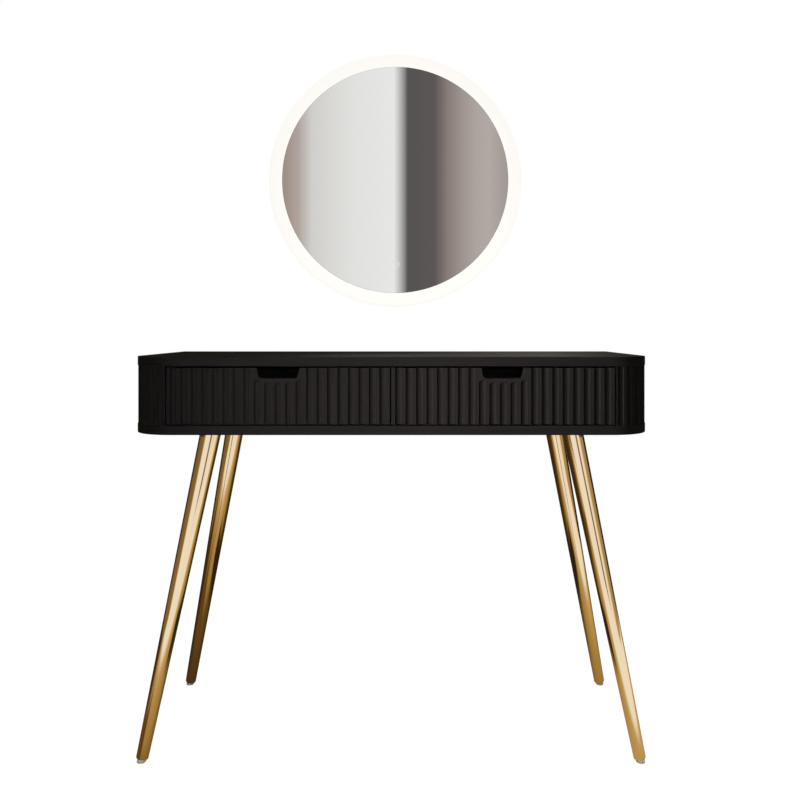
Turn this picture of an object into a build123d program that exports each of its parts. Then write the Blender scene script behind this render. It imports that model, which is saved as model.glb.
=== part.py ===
from build123d import *
import os
from math import asin, cos, radians, sin, sqrt

# Vanity table with two fluted drawers on splayed conical legs, and a round lit mirror on the wall.
# Millimetres. +X is the sitter's right, the front faces -Y and +Z is up.
# The origin is on the floor, under the middle of the whole object.

# Table
WIDTH = 1000.0
DEPTH = 400.0
HEIGHT = 778.0
CARCASS_H = 148.0
BOARD_T = 18.0
CORNER_R = 80.0
EDGE_BAND_T = 2.0
EDGE_ROUND = 1.2
FACE_INSET = 1.0
SIDE_T = 16.0
INNER_T = 16.0
BACK_T = 3.0
REBATE_H = 8.0
REBATE_LIP = 10.0

# Mirror
MIRROR_R = 300.0
MIRROR_GLASS_R = 268.0
MIRROR_GLASS_T = 4.0
MIRROR_DEPTH = 35.0
MIRROR_Z = 1184.0

# Places that follow from the sizes above
FRONT_Y = -(DEPTH + MIRROR_DEPTH) / 2
BACK_Y = FRONT_Y + DEPTH
FACE_Y = FRONT_Y + FACE_INSET
UNDERSIDE_Z = HEIGHT - CARCASS_H
BAY_LOW_Z = UNDERSIDE_Z + BOARD_T
BAY_HIGH_Z = HEIGHT - BOARD_T
BAY_H = BAY_HIGH_Z - BAY_LOW_Z
PANEL_BACK_Y = BACK_Y - BACK_T

# Flutes, milled with a round-nosed cutter
FLUTE_PITCH = 19.8
FLUTE_R = 6.6
FLUTE_DEPTH = 4.5
FLUTE_HALF_W = sqrt(2 * FLUTE_R * FLUTE_DEPTH - FLUTE_DEPTH**2)

# Drawer fronts between the curved sides, with five short flutes under each finger cut-out
SIDE_START_X = 427.0
FRONT_GAP = 2.5
FRONT_LOW_GAP = 2.0
FRONT_TOP_GAP = 3.0
FRONT_CLEAR = 2.0
FRONT_W = SIDE_START_X - FRONT_GAP / 2 - FRONT_GAP
FRONT_H = BAY_H - FRONT_LOW_GAP - FRONT_TOP_GAP
FRONT_T = 18.0
FRONT_EASE = 0.6
FRONT_FLUTES = 21
SHORT_FLUTES = 5
SHORT_DROP_OUTER = 22.5
SHORT_DROP_INNER = 26.8
PULL_TOP_W = 80.0
PULL_LOW_W = 73.0
PULL_H = 19.5
PULL_R = 7.0
PULL_CHAMFER = 1.2
PULL_OVERRUN = 4.0
FRONT_X = (FRONT_GAP + FRONT_W) / 2
FRONT_LOW_Z = BAY_LOW_Z + FRONT_LOW_GAP
FRONT_HIGH_Z = BAY_HIGH_Z - FRONT_TOP_GAP
FRONT_BACK_Y = FACE_Y + FRONT_T

# Curved fluted sides and the straight panels inside them
SIDE_FIRST_FLUTE = 9.1
SIDE_FLUTES = 22
INNER_OVERLAP = 1.0
INNER_OUT_X = SIDE_START_X + INNER_OVERLAP
INNER_IN_X = INNER_OUT_X - INNER_T
DIVIDER_X = INNER_T / 2
PANEL_FRONT_Y = FRONT_BACK_Y + FRONT_CLEAR

# Three-member drawer slides, one behind each drawer side
SLIDE_L = 300.0
SLIDE_GAP = 12.7
SLIDE_STEEL = 1.2
SLIDE_LIP = 2.0
SLIDE_RUN = 1.0
SLIDE_H = 45.6
SLIDE_Z = 700.0
SLIDE_SETBACK = 2.0
SLIDE_Y = PANEL_FRONT_Y + SLIDE_SETBACK
SLIDE_STEP = SLIDE_STEEL + SLIDE_RUN
MIDDLE_H = SLIDE_H - 2 * (SLIDE_STEEL + SLIDE_LIP + SLIDE_RUN)
DRAWER_MEMBER_H = MIDDLE_H - 2 * (SLIDE_STEEL + SLIDE_LIP + SLIDE_RUN)
OUTER_REACH = SLIDE_GAP - 2 * SLIDE_STEP
DRAWER_REACH = OUTER_REACH - SLIDE_STEP

# Drawer boxes
BOX_T = 12.0
BOX_L = 310.0
BOX_LOW_Z = 660.0
BOX_HIGH_Z = 740.0
BOX_IN_X = DIVIDER_X + SLIDE_GAP
BOX_OUT_X = INNER_IN_X - SLIDE_GAP
BOX_BACK_Y = FRONT_BACK_Y + BOX_L
BOTTOM_T = 3.0
BOTTOM_LIFT = 8.0
BOTTOM_GROOVE = 5.0
BOTTOM_Z = BOX_LOW_Z + BOTTOM_LIFT

# Legs: a cone along a slanted axis from the floor to the underside of the carcass
LEG_TOP_X = 358.0
LEG_TOP_IN = 79.0
LEG_FOOT_X = 479.0
LEG_FOOT_IN = 24.5
LEG_TOP_D = 41.0
LEG_FOOT_D = 23.0
LEG_WALL = 1.5
LEG_END = 7.0
LEG_END_T = 4.0
LEG_RIM_R = 2.5
GLIDE_R = 8.5
GLIDE_STEM_R = 4.0
GLIDE_STEM_L = 10.0
GLIDE_CHAMFER = 1.0
PLATE_W = 90.0
PLATE_T = 2.5
PLATE_R = 12.0
PLATE_SCREW_OUT = 33.0
LEG_TOP = Vector(LEG_TOP_X, FRONT_Y + LEG_TOP_IN, UNDERSIDE_Z)
LEG_FOOT = Vector(LEG_FOOT_X, FRONT_Y + LEG_FOOT_IN, 0)
LEG_SLANT = LEG_TOP - LEG_FOOT
LEG_AXIS = Plane(origin=LEG_FOOT, z_dir=LEG_SLANT)
LEG_TAPER = (LEG_TOP_D - LEG_FOOT_D) / 2 / LEG_SLANT.length
LEG_OVERRUN = LEG_SLANT.length + LEG_TOP_D

# Countersunk screws, each by head diameter, shank diameter and length
PLATE_SCREW = (8.0, 4.0, 15.0)
CONFIRMAT = (10.0, 7.0, 50.0)
RAIL_SCREW = (6.0, 3.6, 8.5)
BACK_SCREW = (7.0, 3.5, 35.0)

# Places of the fasteners, and the sizes of the cams, bolts and dowels
PANEL_SCREW_IN = 60.0
PANEL_SCREW_YS = (PANEL_FRONT_Y + PANEL_SCREW_IN, PANEL_BACK_Y - PANEL_SCREW_IN)
RAIL_SCREW_ALONG = (35.0, 150.0, 265.0)
BACK_SCREW_LIFT = 18.0
BACK_SCREW_DROP = 10.0
BACK_SCREW_ZS = (BOX_LOW_Z + BACK_SCREW_LIFT, BOX_HIGH_Z - BACK_SCREW_DROP)
CAM_R = 7.5
CAM_T = 12.5
CAM_DROP = 24.0
CAM_BOLT_R = 3.5
CAM_BOLT_IN = 12.0
DOWEL_R = 4.0
DOWEL_HALF = 12.0
DOWEL_IN = 9.5
DOWEL_ALONG = (68.5, 180.0, 390.0)
DRAWER_CAM_R = 6.0
DRAWER_CAM_T = 9.5
DRAWER_CAM_IN = 24.0
DRAWER_BOLT_R = 2.5
DRAWER_BOLT_IN = 11.0

# Inside and behind the mirror, by radius and by depth behind the face of its glass
DIFFUSER_T = 3.0
DIFFUSER_GAP = 0.3
DIFFUSER_ROUND = 5.0
CHASSIS_BACK = 24.0
CHASSIS_T = 2.0
CHASSIS_R = 299.0
CHASSIS_REAR = CHASSIS_BACK + CHASSIS_T
RING_R = 258.0
FLANGE_OUT_R = 266.0
FLANGE_IN_R = 246.0
STRIP_T = 1.2
STRIP_FRONT = 10.0
STRIP_BACK = 20.0
DRIVER_W = 130.0
DRIVER_H = 40.0
DRIVER_FRONT = 8.0
DRIVER_UP = 60.0
DRIVER_ROUND = 3.0
SENSOR_R = 13.0
SENSOR_T = 2.5
SENSOR_DOWN = 201.0
GROMMET_DOWN = 60.0
GROMMET_R = 11.0
GROMMET_HOLE_R = 8.0
GROMMET_BORE_R = 4.0
GROMMET_LIP = 1.2
BUMPER_R = 7.0
BUMPER_OUT = 150.0
BUMPER_DOWN = 200.0

# Hook rail on the mirror and the wall rail under it, by height above the middle of the hook
HANGER_UP = 130.0
HANGER_L = 240.0
HANGER_TOP = 23.0
RAIL_T = 1.5
HOOK_REACH = 5.3
HOOK_DEEP = CHASSIS_REAR + HOOK_REACH
HOOK_TIP = -11.0
HOOK_WEB = 3.0
HOOK_PLAY = 0.5
REST_PLAY = 0.3
WALL_RAIL_L = 220.0
WALL_WEB = -14.0
WALL_LOW = -38.0
WALL_HOLE_Z = -27.0
WALL_HOLE_R = 2.5
WALL_HOLE_OUT = 80.0
RIVET_R = 1.6
RIVET_HEAD_R = 3.2
RIVET_HEAD_T = 1.2
RIVET_OUTS = (-100.0, -35.0, 35.0, 100.0)

# Bends of sheet metal, by the radius of the middle of the sheet
BEND_R = 1.0

CENTRED_UP = (Align.CENTER, Align.CENTER, Align.MIN)
UP = (0, 0, 1)
BACKWARD = (0, 1, 0)

nodes = {}


def mirrored(solids):
    """The mirror images on the left of right-hand solids."""
    return [mirror(solid, about=Plane.YZ) for solid in solids]


def put_pair(name, *solids):
    """Keep a right-hand piece and its mirror image on the left."""
    nodes[f"right_{name}"] = list(solids)
    nodes[f"left_{name}"] = mirrored(solids)


def block(x0, x1, y0, y1, z0, z1):
    """A square-edged block between two corners."""
    box = Box(x1 - x0, y1 - y0, z1 - z0, align=Align.MIN)
    return Pos(x0, y0, z0) * box


def rod(start, direction, radius, length):
    """A round rod from a point along a direction."""
    return Plane(origin=start, z_dir=direction) * Cylinder(radius, length, align=CENTRED_UP)


def flat_head_screw(start, direction, head_d, shank_d, length):
    """A countersunk screw whose head is flush with the start point."""
    sink = (head_d - shank_d) / 2
    head = Cone(head_d / 2, shank_d / 2, sink, align=CENTRED_UP)
    shank = Pos(0, 0, sink) * Cylinder(shank_d / 2, length - sink, align=CENTRED_UP)
    return Plane(origin=start, z_dir=direction) * (head + shank)


def bent_section(thickness, *centre_line):
    """Cross-section of a sheet that follows a centre line, with rounded bends."""
    return trace(FilletPolyline(*centre_line, radius=BEND_R), thickness)


def plan_outline(inset):
    """Plan of the carcass drawn in by an inset: rounded corners in front, square at the back."""
    width = WIDTH - 2 * inset
    depth = DEPTH - inset
    plan = Pos(0, BACK_Y - depth / 2) * Rectangle(width, depth)
    return fillet(plan.vertices().group_by(Axis.Y)[0], CORNER_R - inset)


# Carcass boards


def carcass_board(low_z, rebate_z):
    """One horizontal board as its core, rebated for the back panel, and the band round its edge."""
    whole = extrude(Pos(0, 0, low_z) * plan_outline(0), BOARD_T)
    rims = whole.faces().filter_by(Axis.Z).edges()
    back_rims = rims.group_by(Axis.Y)[-1]
    whole = fillet(rims - back_rims, EDGE_ROUND)
    core = extrude(Pos(0, 0, low_z) * plan_outline(EDGE_BAND_T), BOARD_T)
    half = WIDTH / 2 - REBATE_LIP
    rebate = block(-half, half, PANEL_BACK_Y, BACK_Y, rebate_z, rebate_z + REBATE_H)
    return core - rebate, whole - core


def back_panel():
    """Thin panel that closes the back, held in the rebates of the boards and sides."""
    half = WIDTH / 2 - REBATE_LIP
    return block(-half, half, PANEL_BACK_Y, BACK_Y, BAY_LOW_Z - REBATE_H, BAY_HIGH_Z + REBATE_H)


def inner_panel(x0, x1):
    """An upright panel from behind the drawer fronts to the back panel."""
    return block(x0, x1, PANEL_FRONT_Y, PANEL_BACK_Y, BAY_LOW_Z, BAY_HIGH_Z)


def side_point(along, out):
    """A point on the right side's surface, a distance along it and a distance out from it."""
    radius = CORNER_R - FACE_INSET
    centre_x = WIDTH / 2 - CORNER_R
    centre_y = FRONT_Y + CORNER_R
    start = asin((SIDE_START_X - centre_x) / radius)
    bend_end = (radians(90) - start) * radius
    if along > bend_end:
        return centre_x + radius + out, centre_y + along - bend_end
    turn = start + along / radius
    return centre_x + (radius + out) * sin(turn), centre_y - (radius + out) * cos(turn)


def fluted_side():
    """Right side: a board bent round the front corner, fluted outside and rebated at the back."""
    plan = plan_outline(FACE_INSET) - plan_outline(FACE_INSET + SIDE_T)
    keep_w = WIDTH / 2 - SIDE_START_X
    keep = Pos(SIDE_START_X + keep_w / 2, BACK_Y - DEPTH / 2) * Rectangle(keep_w, DEPTH)
    plan &= keep
    for flute in range(SIDE_FLUTES):
        along = SIDE_FIRST_FLUTE + flute * FLUTE_PITCH
        plan -= Pos(*side_point(along, FLUTE_R - FLUTE_DEPTH)) * Circle(FLUTE_R)
    side = extrude(Pos(0, 0, BAY_LOW_Z) * plan, BAY_H)
    rebate_x = WIDTH / 2 - REBATE_LIP
    return side - block(rebate_x - SIDE_T, rebate_x, PANEL_BACK_Y, BACK_Y, BAY_LOW_Z, BAY_HIGH_Z)


# Carcass fasteners


def side_dowels():
    """Dowels that pin the right side to the boards above and below it."""
    dowels = []
    for along in DOWEL_ALONG:
        x, y = side_point(along, -DOWEL_IN)
        for z in (BAY_LOW_Z, BAY_HIGH_Z):
            dowels.append(rod((x, y, z - DOWEL_HALF), UP, DOWEL_R, 2 * DOWEL_HALF))
    return dowels


def panel_confirmats(x):
    """Long screws up through the bottom board into an upright panel's lower edge."""
    return [flat_head_screw((x, y, UNDERSIDE_Z), UP, *CONFIRMAT) for y in PANEL_SCREW_YS]


def panel_cams(face_x, inward):
    """Cam locks let into the face of an upright panel near its top edge."""
    z = BAY_HIGH_Z - CAM_DROP
    return [rod((face_x, y, z), (inward, 0, 0), CAM_R, CAM_T) for y in PANEL_SCREW_YS]


def panel_cam_bolts(x):
    """Bolts that hang from the top board into the cam locks."""
    low_z = BAY_HIGH_Z - CAM_DROP + CAM_R
    length = BAY_HIGH_Z + CAM_BOLT_IN - low_z
    return [rod((x, y, low_z), UP, CAM_BOLT_R, length) for y in PANEL_SCREW_YS]


# Legs


def leg_cone(start, thinner):
    """A cone on the leg's axis from a distance above the floor to past the carcass."""
    low_r = LEG_FOOT_D / 2 + LEG_TAPER * start - thinner
    high_r = LEG_FOOT_D / 2 + LEG_TAPER * LEG_OVERRUN - thinner
    return Pos(0, 0, start) * Cone(low_r, high_r, LEG_OVERRUN - start, align=CENTRED_UP)


def leg_tube():
    """Front right leg: a tapered tube with a closed foot, cut level under its plate."""
    outer = leg_cone(LEG_END, 0)
    outer = fillet(outer.edges().sort_by(Axis.Z)[0], LEG_RIM_R)
    stem_hole = Cylinder(GLIDE_STEM_R, LEG_END + GLIDE_STEM_L, align=CENTRED_UP)
    leg = LEG_AXIS * (outer - leg_cone(LEG_END + LEG_END_T, LEG_WALL) - stem_hole)
    return split(leg, Plane.XY.offset(UNDERSIDE_Z - PLATE_T), keep=Keep.BOTTOM)


def leg_plate():
    """Front right leg's mounting plate, before its screw holes."""
    plan = Pos(LEG_TOP.X, LEG_TOP.Y) * RectangleRounded(PLATE_W, PLATE_W, PLATE_R)
    return extrude(Pos(0, 0, UNDERSIDE_Z - PLATE_T) * plan, PLATE_T)


def leg_screws():
    """Screws through the corners of the front right plate into the bottom board."""
    outs = (-PLATE_SCREW_OUT, PLATE_SCREW_OUT)
    base = UNDERSIDE_Z - PLATE_T
    return [
        flat_head_screw((LEG_TOP.X + x, LEG_TOP.Y + y, base), UP, *PLATE_SCREW)
        for x in outs
        for y in outs
    ]


def glide():
    """Front right nylon glide: a button under the leg's end, flat on the floor, with a stem."""
    button = Pos(0, 0, -GLIDE_R) * Cylinder(GLIDE_R, LEG_END + GLIDE_R, align=CENTRED_UP)
    stem = Pos(0, 0, LEG_END) * Cylinder(GLIDE_STEM_R, GLIDE_STEM_L, align=CENTRED_UP)
    foot = split(LEG_AXIS * (button + stem), Plane.XY, keep=Keep.TOP)
    return chamfer(foot.edges().group_by(Axis.Z)[0], GLIDE_CHAMFER)


def four_corners(solid):
    """A front right piece and its mirror images, by the name of their corner."""
    middle = Plane(origin=(0, FRONT_Y + DEPTH / 2, 0), z_dir=BACKWARD)
    rear = mirror(solid, about=middle)
    return {
        "front_right": solid,
        "front_left": mirror(solid, about=Plane.YZ),
        "rear_right": rear,
        "rear_left": mirror(rear, about=Plane.YZ),
    }


# Drawer slides


def channel(wall_x, facing, depth, height):
    """A lipped steel channel of a slide, its web at wall_x and its flanges facing left or right."""
    half_steel = SLIDE_STEEL / 2
    web = facing * half_steel
    lip = facing * (depth - half_steel)
    flange = height / 2 - half_steel
    tip = height / 2 - SLIDE_STEEL - SLIDE_LIP
    lower = ((lip, -tip), (lip, -flange), (web, -flange))
    upper = ((web, flange), (lip, flange), (lip, tip))
    place = Plane(origin=(wall_x, SLIDE_Y, SLIDE_Z), x_dir=(1, 0, 0), z_dir=BACKWARD)
    return extrude(place * bent_section(SLIDE_STEEL, *lower, *upper), SLIDE_L)


def slide_members(offset, reach, height, on_drawer):
    """One member of the right-hand drawer's two slides, next to the divider and next to the side."""
    if on_drawer:
        return channel(BOX_IN_X, -1, reach, height), channel(BOX_OUT_X, 1, reach, height)
    near = channel(DIVIDER_X + offset, 1, reach, height)
    far = channel(INNER_IN_X - offset, -1, reach, height)
    return near, far


def rail_screws(board_x, inward):
    """Screws through the web of a slide member into the board that it lies against."""
    x = board_x - inward * SLIDE_STEEL
    return [
        flat_head_screw((x, SLIDE_Y + along, SLIDE_Z), (inward, 0, 0), *RAIL_SCREW)
        for along in RAIL_SCREW_ALONG
    ]


# Drawers


def short_flute(step):
    """Cutter for one flute that stops below the finger cut-out with a round top."""
    drop = SHORT_DROP_OUTER if abs(step) == SHORT_FLUTES // 2 else SHORT_DROP_INNER
    ball_z = FRONT_HIGH_Z - drop - FLUTE_HALF_W
    shaft = Cylinder(FLUTE_R, FRONT_H, align=(Align.CENTER, Align.CENTER, Align.MAX))
    place = Pos(FRONT_X + step * FLUTE_PITCH, FACE_Y - FLUTE_R + FLUTE_DEPTH, ball_z)
    return place * (shaft + Sphere(FLUTE_R))


def finger_cut():
    """Cutters for the finger cut-out, wider at its open top, and for the chamfer round its rim."""
    lean = (PULL_TOP_W - PULL_LOW_W) / 2 / PULL_H
    top_half = PULL_TOP_W / 2 + lean * PULL_OVERRUN
    low_half = PULL_LOW_W / 2
    outline = Polyline(
        (-top_half, -PULL_OVERRUN),
        (-low_half, PULL_H),
        (low_half, PULL_H),
        (top_half, -PULL_OVERRUN),
        close=True,
    )
    face = make_face(outline)
    face = fillet(face.vertices().group_by(Axis.Y)[-1], PULL_R)
    place = Plane(origin=(FRONT_X, FACE_Y, FRONT_HIGH_Z), x_dir=(1, 0, 0), z_dir=BACKWARD)
    through = extrude(place * face, FRONT_T)
    rim = extrude(place * offset(face, PULL_CHAMFER), PULL_CHAMFER, taper=45)
    return through, rim


def drawer_front():
    """Right-hand drawer front with its flutes and finger cut-out."""
    plan = Pos(FRONT_X, FACE_Y + FRONT_T / 2) * RectangleRounded(FRONT_W, FRONT_T, FRONT_EASE)
    last = FRONT_FLUTES // 2
    short = SHORT_FLUTES // 2
    for step in range(-last, last + 1):
        if abs(step) > short:
            centre = Pos(FRONT_X + step * FLUTE_PITCH, FACE_Y - FLUTE_R + FLUTE_DEPTH)
            plan -= centre * Circle(FLUTE_R)
    front = extrude(Pos(0, 0, FRONT_LOW_Z) * plan, FRONT_H)
    for step in range(-short, short + 1):
        front -= short_flute(step)
    through, rim = finger_cut()
    return front - through - rim


def drawer_side(x0):
    """One side of the right-hand drawer box."""
    return block(x0, x0 + BOX_T, FRONT_BACK_Y, BOX_BACK_Y, BOX_LOW_Z, BOX_HIGH_Z)


def drawer_bottom():
    """Thin bottom that sits in grooves of the front and sides and runs under the back."""
    x0 = BOX_IN_X + BOX_T - BOTTOM_GROOVE
    x1 = BOX_OUT_X - BOX_T + BOTTOM_GROOVE
    return block(x0, x1, FRONT_BACK_Y - BOTTOM_GROOVE, BOX_BACK_Y, BOTTOM_Z, BOTTOM_Z + BOTTOM_T)


def drawer_back():
    """Back of the right-hand drawer box, standing on the bottom between the sides."""
    x0 = BOX_IN_X + BOX_T
    x1 = BOX_OUT_X - BOX_T
    return block(x0, x1, BOX_BACK_Y - BOX_T, BOX_BACK_Y, BOTTOM_Z + BOTTOM_T, BOX_HIGH_Z)


def drawer_cams():
    """Cams in the drawer sides and the bolts that pull the front against them."""
    fasteners = []
    cam_z = (BOTTOM_Z + BOTTOM_T + BOX_HIGH_Z) / 2
    cam_y = FRONT_BACK_Y + DRAWER_CAM_IN
    bolt_l = DRAWER_BOLT_IN + DRAWER_CAM_IN - DRAWER_CAM_R
    for inner_x, outward in ((BOX_IN_X + BOX_T, -1), (BOX_OUT_X - BOX_T, 1)):
        fasteners.append(rod((inner_x, cam_y, cam_z), (outward, 0, 0), DRAWER_CAM_R, DRAWER_CAM_T))
        bolt_x = inner_x + outward * BOX_T / 2
        start = (bolt_x, FRONT_BACK_Y - DRAWER_BOLT_IN, cam_z)
        fasteners.append(rod(start, BACKWARD, DRAWER_BOLT_R, bolt_l))
    return fasteners


def back_screws(side_x, inward):
    """Screws through a side of the drawer box into the end of its back."""
    y = BOX_BACK_Y - BOX_T / 2
    return [flat_head_screw((side_x, y, z), (inward, 0, 0), *BACK_SCREW) for z in BACK_SCREW_ZS]


# Mirror


def turned(*outline, down=0.0):
    """A solid turned about an axis through the mirror from an outline of radius and depth."""
    solid = revolve(make_face(Polyline(*outline, close=True)), Axis.Y)
    return Pos(0, BACK_Y, MIRROR_Z - down) * solid


def diffuser_ring():
    """Opal cover ring round the glass: a flat face, a rounded edge and a wall to the chassis."""
    inner = MIRROR_GLASS_R + DIFFUSER_GAP
    wall = MIRROR_R - DIFFUSER_T
    face = make_face(
        Polyline(
            (inner, 0),
            (MIRROR_R, 0),
            (MIRROR_R, CHASSIS_BACK),
            (wall, CHASSIS_BACK),
            (wall, DIFFUSER_T),
            (inner, DIFFUSER_T),
            close=True,
        )
    )
    outer_corner = face.vertices().group_by(Axis.Y)[0].sort_by(Axis.X)[-1]
    face = fillet(outer_corner, DIFFUSER_ROUND)
    return Pos(0, BACK_Y, MIRROR_Z) * revolve(face, Axis.Y)


def chassis():
    """Pressed chassis: a back plate, a ring wall and a flange that the glass is bonded to."""
    ring_in = RING_R - CHASSIS_T
    flange_back = MIRROR_GLASS_T + CHASSIS_T
    return turned(
        (0, CHASSIS_REAR),
        (CHASSIS_R, CHASSIS_REAR),
        (CHASSIS_R, CHASSIS_BACK),
        (RING_R, CHASSIS_BACK),
        (RING_R, flange_back),
        (FLANGE_OUT_R, flange_back),
        (FLANGE_OUT_R, MIRROR_GLASS_T),
        (FLANGE_IN_R, MIRROR_GLASS_T),
        (FLANGE_IN_R, flange_back),
        (ring_in, flange_back),
        (ring_in, CHASSIS_BACK),
        (0, CHASSIS_BACK),
    )


def light_strip():
    """Flexible light strip bonded round the outside of the chassis ring."""
    outside = RING_R + STRIP_T
    return turned(
        (RING_R, STRIP_FRONT),
        (outside, STRIP_FRONT),
        (outside, STRIP_BACK),
        (RING_R, STRIP_BACK),
    )


def driver():
    """Sealed power supply on the inside of the back plate."""
    z = MIRROR_Z + DRIVER_UP
    half_w = DRIVER_W / 2
    half_h = DRIVER_H / 2
    case = block(-half_w, half_w, BACK_Y + DRIVER_FRONT, BACK_Y + CHASSIS_BACK, z - half_h, z + half_h)
    return fillet(case.edges().filter_by(Axis.Y), DRIVER_ROUND)


def grommet():
    """Rubber cable grommet that snaps into the back plate."""
    return turned(
        (GROMMET_BORE_R, CHASSIS_BACK - GROMMET_LIP),
        (GROMMET_R, CHASSIS_BACK - GROMMET_LIP),
        (GROMMET_R, CHASSIS_BACK),
        (GROMMET_HOLE_R, CHASSIS_BACK),
        (GROMMET_HOLE_R, CHASSIS_REAR),
        (GROMMET_R, CHASSIS_REAR),
        (GROMMET_R, CHASSIS_REAR + GROMMET_LIP),
        (GROMMET_BORE_R, CHASSIS_REAR + GROMMET_LIP),
        down=GROMMET_DOWN,
    )


def bent_strip(length, *centre_line):
    """A strip of bent sheet along X, its centre line by depth behind the glass and height."""
    zero = Plane(origin=(0, BACK_Y, MIRROR_Z + HANGER_UP), x_dir=BACKWARD, z_dir=(1, 0, 0))
    return extrude(zero * bent_section(RAIL_T, *centre_line), length / 2, both=True)


def hanger_rail():
    """Hook rail on the back of the mirror: flat against the chassis, then down behind the wall rail."""
    flat = CHASSIS_REAR + RAIL_T / 2
    hook = HOOK_DEEP - RAIL_T / 2
    web = HOOK_WEB - RAIL_T / 2
    return bent_strip(HANGER_L, (flat, HANGER_TOP), (flat, web), (hook, web), (hook, HOOK_TIP))


def wall_rail():
    """Rail screwed to the wall, with a lip standing up that the mirror's hook hangs on."""
    lip = HOOK_DEEP - RAIL_T - HOOK_PLAY - RAIL_T / 2
    lip_top = HOOK_WEB - RAIL_T - REST_PLAY
    wall = MIRROR_DEPTH - RAIL_T / 2
    web = WALL_WEB - RAIL_T / 2
    rail = bent_strip(WALL_RAIL_L, (lip, lip_top), (lip, web), (wall, web), (wall, WALL_LOW))
    hole_z = MIRROR_Z + HANGER_UP + WALL_HOLE_Z
    for x in (-WALL_HOLE_OUT, WALL_HOLE_OUT):
        rail -= rod((x, BACK_Y + CHASSIS_REAR, hole_z), BACKWARD, WALL_HOLE_R, MIRROR_DEPTH)
    return rail


def hanger_rivets():
    """Rivets through the hook rail and the chassis."""
    z = MIRROR_Z + HANGER_UP + (HOOK_WEB + HANGER_TOP) / 2
    rivets = []
    for x in RIVET_OUTS:
        shank = rod((x, BACK_Y + CHASSIS_BACK, z), BACKWARD, RIVET_R, CHASSIS_T + RAIL_T)
        head = rod((x, BACK_Y + CHASSIS_REAR + RAIL_T, z), BACKWARD, RIVET_HEAD_R, RIVET_HEAD_T)
        rivets.append(shank + head)
    return rivets


def wall_bumpers():
    """Soft pads that keep the lower half of the mirror parallel to the wall."""
    z = MIRROR_Z - BUMPER_DOWN
    length = MIRROR_DEPTH - CHASSIS_REAR
    return [
        rod((x, BACK_Y + CHASSIS_REAR, z), BACKWARD, BUMPER_R, length)
        for x in (-BUMPER_OUT, BUMPER_OUT)
    ]


# Carcass assembly

top_core, top_band = carcass_board(BAY_HIGH_Z, BAY_HIGH_Z)
bottom_core, bottom_band = carcass_board(UNDERSIDE_Z, BAY_LOW_Z - REBATE_H)
side = fluted_side()
inner = inner_panel(INNER_IN_X, INNER_OUT_X)
divider = inner_panel(-DIVIDER_X, DIVIDER_X)

inner_x = (INNER_IN_X + INNER_OUT_X) / 2
right_dowels = side_dowels()
right_cams = panel_cams(INNER_OUT_X, -1)
centre_cams = panel_cams(DIVIDER_X, -1)
right_confirmats = panel_confirmats(inner_x)
centre_confirmats = panel_confirmats(0)
right_bolts = panel_cam_bolts(inner_x)
centre_bolts = panel_cam_bolts(0)
right_rail_screws = rail_screws(INNER_IN_X, 1)
divider_screws = rail_screws(DIVIDER_X, -1)
centre_screws = divider_screws + mirrored(divider_screws)

dowels = right_dowels + mirrored(right_dowels)
confirmats = right_confirmats + centre_confirmats + mirrored(right_confirmats)
cams = right_cams + centre_cams + mirrored(right_cams)
cam_bolts = right_bolts + centre_bolts + mirrored(right_bolts)
plate_screws = [corner for screw in leg_screws() for corner in four_corners(screw).values()]

nodes["top_panel"] = [top_core - dowels - cam_bolts]
nodes["top_edge_band"] = [top_band]
nodes["bottom_panel"] = [bottom_core - dowels - confirmats - plate_screws]
nodes["bottom_edge_band"] = [bottom_band]
nodes["centre_divider"] = [
    divider - centre_cams - centre_confirmats - centre_bolts - centre_screws
]
nodes["back_panel"] = [back_panel()]
nodes["carcass_dowels"] = dowels
nodes["carcass_confirmats"] = confirmats
nodes["cam_locks"] = cams
nodes["cam_bolts"] = cam_bolts
nodes["slide_screws"] = right_rail_screws + centre_screws + mirrored(right_rail_screws)
put_pair("fluted_side", side - right_dowels)
put_pair("inner_side", inner - right_cams - right_confirmats - right_bolts - right_rail_screws)

for corner, leg in four_corners(leg_tube()).items():
    nodes[f"{corner}_leg"] = [leg]
for corner, plate in four_corners(leg_plate() - leg_screws()).items():
    nodes[f"{corner}_leg_plate"] = [plate]
for corner, foot in four_corners(glide()).items():
    nodes[f"{corner}_glide"] = [foot]
nodes["leg_plate_screws"] = plate_screws

# Drawers and slides

front_cams = drawer_cams()
bottom = drawer_bottom()
inner_screws = rail_screws(BOX_IN_X, 1) + back_screws(BOX_IN_X, 1)
outer_screws = rail_screws(BOX_OUT_X, -1) + back_screws(BOX_OUT_X, -1)
drawer_screws = inner_screws + outer_screws
outer_members = slide_members(0, OUTER_REACH, SLIDE_H, False)
drawer_members = slide_members(0, DRAWER_REACH, DRAWER_MEMBER_H, True)
put_pair("drawer_front", drawer_front() - bottom - front_cams)
put_pair("drawer_inner_side", drawer_side(BOX_IN_X) - bottom - front_cams - inner_screws)
put_pair("drawer_outer_side", drawer_side(BOX_OUT_X - BOX_T) - bottom - front_cams - outer_screws)
put_pair("drawer_back", drawer_back() - drawer_screws)
put_pair("drawer_bottom", bottom)
put_pair("drawer_cams", *front_cams)
put_pair("drawer_screws", *drawer_screws)
put_pair("cabinet_rails", outer_members[0] - divider_screws, outer_members[1] - right_rail_screws)
put_pair("middle_rails", *slide_members(SLIDE_STEP, OUTER_REACH, MIDDLE_H, False))
put_pair("drawer_rails", drawer_members[0] - inner_screws, drawer_members[1] - outer_screws)

# Mirror assembly

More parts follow.
